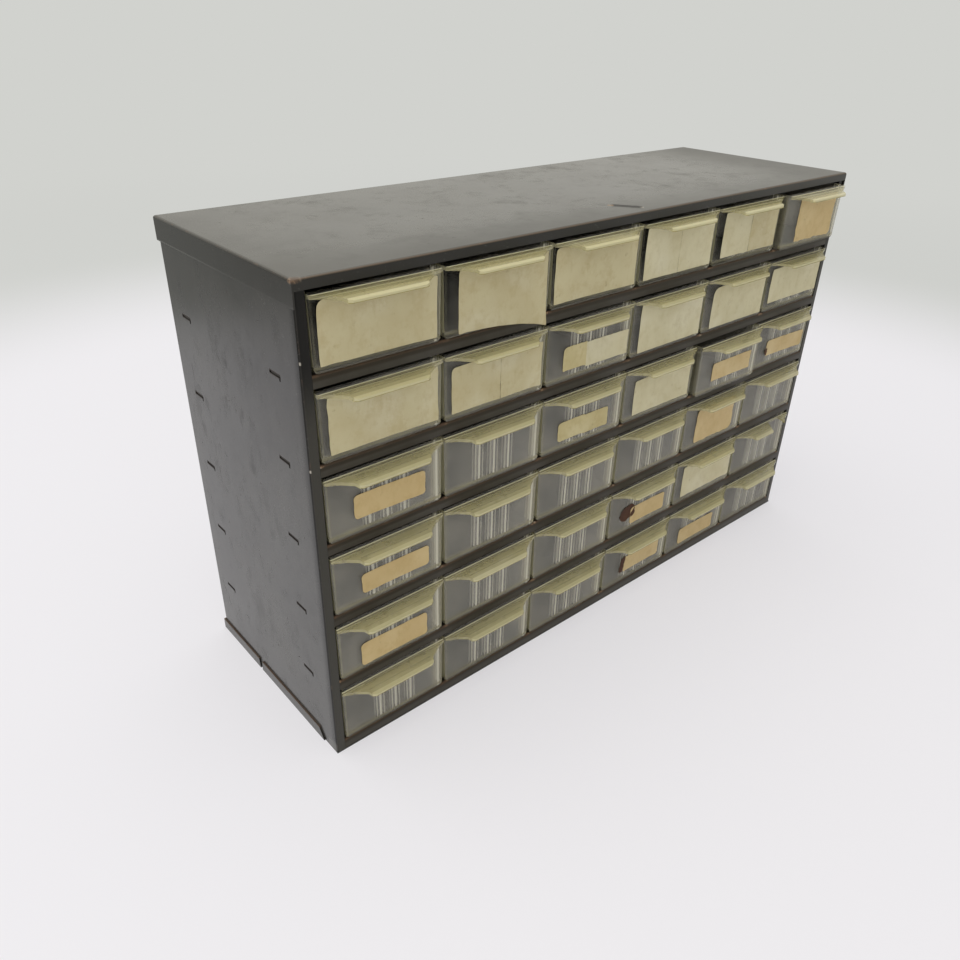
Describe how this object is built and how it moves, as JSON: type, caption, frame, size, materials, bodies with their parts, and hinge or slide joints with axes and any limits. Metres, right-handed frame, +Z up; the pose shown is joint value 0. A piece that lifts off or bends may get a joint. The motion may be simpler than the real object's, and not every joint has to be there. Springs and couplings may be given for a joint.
{
  "type": "parts cabinet",
  "caption": "Free-standing sheet-steel parts cabinet with a grid of clear moulded drawers that slide out by pull lips.",
  "frame": {"origin": "centre of the base pan's underside, midway between the side panels", "axes": "+X to the right seen from the front, -Y towards the viewer (the way the drawers pull out), +Z up"},
  "size_m": [0.454, 0.1617, 0.282],
  "materials": {
    "painted_steel": "worn semi-gloss dark grey paint with bare and rusty edges",
    "clear_styrene": "clear moulded styrene, a little yellowed"
  },
  "bodies": {
    "cabinet": {"top_cover": "painted_steel", "left_side_panel": "painted_steel", "right_side_panel": "painted_steel", "back_panel": "painted_steel", "base_pan": "painted_steel", "shelf_1": "painted_steel", "shelf_2": "painted_steel", "shelf_3": "painted_steel", "shelf_4": "painted_steel", "shelf_5": "painted_steel", "shelf_6": "painted_steel"},
    "drawer_r1_c1": {"drawer_r1_c1": "clear_styrene"},
    "drawer_r1_c2": {"drawer_r1_c2": "clear_styrene"},
    "drawer_r1_c3": {"drawer_r1_c3": "clear_styrene"},
    "drawer_r1_c4": {"drawer_r1_c4": "clear_styrene"},
    "drawer_r1_c5": {"drawer_r1_c5": "clear_styrene"},
    "drawer_r1_c6": {"drawer_r1_c6": "clear_styrene"},
    "drawer_r2_c1": {"drawer_r2_c1": "clear_styrene"},
    "drawer_r2_c2": {"drawer_r2_c2": "clear_styrene"},
    "drawer_r2_c3": {"drawer_r2_c3": "clear_styrene"},
    "drawer_r2_c4": {"drawer_r2_c4": "clear_styrene"},
    "drawer_r2_c5": {"drawer_r2_c5": "clear_styrene"},
    "drawer_r2_c6": {"drawer_r2_c6": "clear_styrene"},
    "drawer_r3_c1": {"drawer_r3_c1": "clear_styrene"},
    "drawer_r3_c2": {"drawer_r3_c2": "clear_styrene"},
    "drawer_r3_c3": {"drawer_r3_c3": "clear_styrene"},
    "drawer_r3_c4": {"drawer_r3_c4": "clear_styrene"},
    "drawer_r3_c5": {"drawer_r3_c5": "clear_styrene"},
    "drawer_r3_c6": {"drawer_r3_c6": "clear_styrene"},
    "drawer_r4_c1": {"drawer_r4_c1": "clear_styrene"},
    "drawer_r4_c2": {"drawer_r4_c2": "clear_styrene"},
    "drawer_r4_c3": {"drawer_r4_c3": "clear_styrene"},
    "drawer_r4_c4": {"drawer_r4_c4": "clear_styrene"},
    "drawer_r4_c5": {"drawer_r4_c5": "clear_styrene"},
    "drawer_r4_c6": {"drawer_r4_c6": "clear_styrene"},
    "drawer_r5_c1": {"drawer_r5_c1": "clear_styrene"},
    "drawer_r5_c2": {"drawer_r5_c2": "clear_styrene"},
    "drawer_r5_c3": {"drawer_r5_c3": "clear_styrene"},
    "drawer_r5_c4": {"drawer_r5_c4": "clear_styrene"},
    "drawer_r5_c5": {"drawer_r5_c5": "clear_styrene"},
    "drawer_r5_c6": {"drawer_r5_c6": "clear_styrene"},
    "drawer_r6_c1": {"drawer_r6_c1": "clear_styrene"},
    "drawer_r6_c2": {"drawer_r6_c2": "clear_styrene"},
    "drawer_r6_c3": {"drawer_r6_c3": "clear_styrene"},
    "drawer_r6_c4": {"drawer_r6_c4": "clear_styrene"},
    "drawer_r6_c5": {"drawer_r6_c5": "clear_styrene"},
    "drawer_r6_c6": {"drawer_r6_c6": "clear_styrene"}
  },
  "joints": [
    {"name": "slide_r1_c1", "type": "slide", "parent": "cabinet", "child": "drawer_r1_c1", "axis": [0, -1, 0], "range_m": [0, 0.113]},
    {"name": "slide_r1_c2", "type": "slide", "parent": "cabinet", "child": "drawer_r1_c2", "axis": [0, -1, 0], "range_m": [0, 0.113]},
    {"name": "slide_r1_c3", "type": "slide", "parent": "cabinet", "child": "drawer_r1_c3", "axis": [0, -1, 0], "range_m": [0, 0.113]},
    {"name": "slide_r1_c4", "type": "slide", "parent": "cabinet", "child": "drawer_r1_c4", "axis": [0, -1, 0], "range_m": [0, 0.113]},
    {"name": "slide_r1_c5", "type": "slide", "parent": "cabinet", "child": "drawer_r1_c5", "axis": [0, -1, 0], "range_m": [0, 0.113]},
    {"name": "slide_r1_c6", "type": "slide", "parent": "cabinet", "child": "drawer_r1_c6", "axis": [0, -1, 0], "range_m": [-0.004, 0.109]},
    {"name": "slide_r2_c1", "type": "slide", "parent": "cabinet", "child": "drawer_r2_c1", "axis": [0, -1, 0], "range_m": [0, 0.113]},
    {"name": "slide_r2_c2", "type": "slide", "parent": "cabinet", "child": "drawer_r2_c2", "axis": [0, -1, 0], "range_m": [0, 0.113]},
    {"name": "slide_r2_c3", "type": "slide", "parent": "cabinet", "child": "drawer_r2_c3", "axis": [0, -1, 0], "range_m": [0, 0.113]},
    {"name": "slide_r2_c4", "type": "slide", "parent": "cabinet", "child": "drawer_r2_c4", "axis": [0, -1, 0], "range_m": [0, 0.113]},
    {"name": "slide_r2_c5", "type": "slide", "parent": "cabinet", "child": "drawer_r2_c5", "axis": [0, -1, 0], "range_m": [0, 0.113]},
    {"name": "slide_r2_c6", "type": "slide", "parent": "cabinet", "child": "drawer_r2_c6", "axis": [0, -1, 0], "range_m": [0, 0.113]},
    {"name": "slide_r3_c1", "type": "slide", "parent": "cabinet", "child": "drawer_r3_c1", "axis": [0, -1, 0], "range_m": [0, 0.113]},
    {"name": "slide_r3_c2", "type": "slide", "parent": "cabinet", "child": "drawer_r3_c2", "axis": [0, -1, 0], "range_m": [0, 0.113]},
    {"name": "slide_r3_c3", "type": "slide", "parent": "cabinet", "child": "drawer_r3_c3", "axis": [0, -1, 0], "range_m": [0, 0.113]},
    {"name": "slide_r3_c4", "type": "slide", "parent": "cabinet", "child": "drawer_r3_c4", "axis": [0, -1, 0], "range_m": [0, 0.113]},
    {"name": "slide_r3_c5", "type": "slide", "parent": "cabinet", "child": "drawer_r3_c5", "axis": [0, -1, 0], "range_m": [-0.004, 0.109]},
    {"name": "slide_r3_c6", "type": "slide", "parent": "cabinet", "child": "drawer_r3_c6", "axis": [0, -1, 0], "range_m": [0, 0.113]},
    {"name": "slide_r4_c1", "type": "slide", "parent": "cabinet", "child": "drawer_r4_c1", "axis": [0, -1, 0], "range_m": [0, 0.113]},
    {"name": "slide_r4_c2", "type": "slide", "parent": "cabinet", "child": "drawer_r4_c2", "axis": [0, -1, 0], "range_m": [0, 0.113]},
    {"name": "slide_r4_c3", "type": "slide", "parent": "cabinet", "child": "drawer_r4_c3", "axis": [0, -1, 0], "range_m": [0, 0.113]},
    {"name": "slide_r4_c4", "type": "slide", "parent": "cabinet", "child": "drawer_r4_c4", "axis": [0, -1, 0], "range_m": [0, 0.113]},
    {"name": "slide_r4_c5", "type": "slide", "parent": "cabinet", "child": "drawer_r4_c5", "axis": [0, -1, 0], "range_m": [0, 0.113]},
    {"name": "slide_r4_c6", "type": "slide", "parent": "cabinet", "child": "drawer_r4_c6", "axis": [0, -1, 0], "range_m": [0, 0.113]},
    {"name": "slide_r5_c1", "type": "slide", "parent": "cabinet", "child": "drawer_r5_c1", "axis": [0, -1, 0], "range_m": [0, 0.113]},
    {"name": "slide_r5_c2", "type": "slide", "parent": "cabinet", "child": "drawer_r5_c2", "axis": [0, -1, 0], "range_m": [0, 0.113]},
    {"name": "slide_r5_c3", "type": "slide", "parent": "cabinet", "child": "drawer_r5_c3", "axis": [0, -1, 0], "range_m": [0, 0.113]},
    {"name": "slide_r5_c4", "type": "slide", "parent": "cabinet", "child": "drawer_r5_c4", "axis": [0, -1, 0], "range_m": [0, 0.113]},
    {"name": "slide_r5_c5", "type": "slide", "parent": "cabinet", "child": "drawer_r5_c5", "axis": [0, -1, 0], "range_m": [0, 0.113]},
    {"name": "slide_r5_c6", "type": "slide", "parent": "cabinet", "child": "drawer_r5_c6", "axis": [0, -1, 0], "range_m": [0, 0.113]},
    {"name": "slide_r6_c1", "type": "slide", "parent": "cabinet", "child": "drawer_r6_c1", "axis": [0, -1, 0], "range_m": [0, 0.113]},
    {"name": "slide_r6_c2", "type": "slide", "parent": "cabinet", "child": "drawer_r6_c2", "axis": [0, -1, 0], "range_m": [0, 0.113]},
    {"name": "slide_r6_c3", "type": "slide", "parent": "cabinet", "child": "drawer_r6_c3", "axis": [0, -1, 0], "range_m": [0, 0.113]},
    {"name": "slide_r6_c4", "type": "slide", "parent": "cabinet", "child": "drawer_r6_c4", "axis": [0, -1, 0], "range_m": [0, 0.113]},
    {"name": "slide_r6_c5", "type": "slide", "parent": "cabinet", "child": "drawer_r6_c5", "axis": [0, -1, 0], "range_m": [0, 0.113]},
    {"name": "slide_r6_c6", "type": "slide", "parent": "cabinet", "child": "drawer_r6_c6", "axis": [0, -1, 0], "range_m": [0, 0.113]}
  ]
}
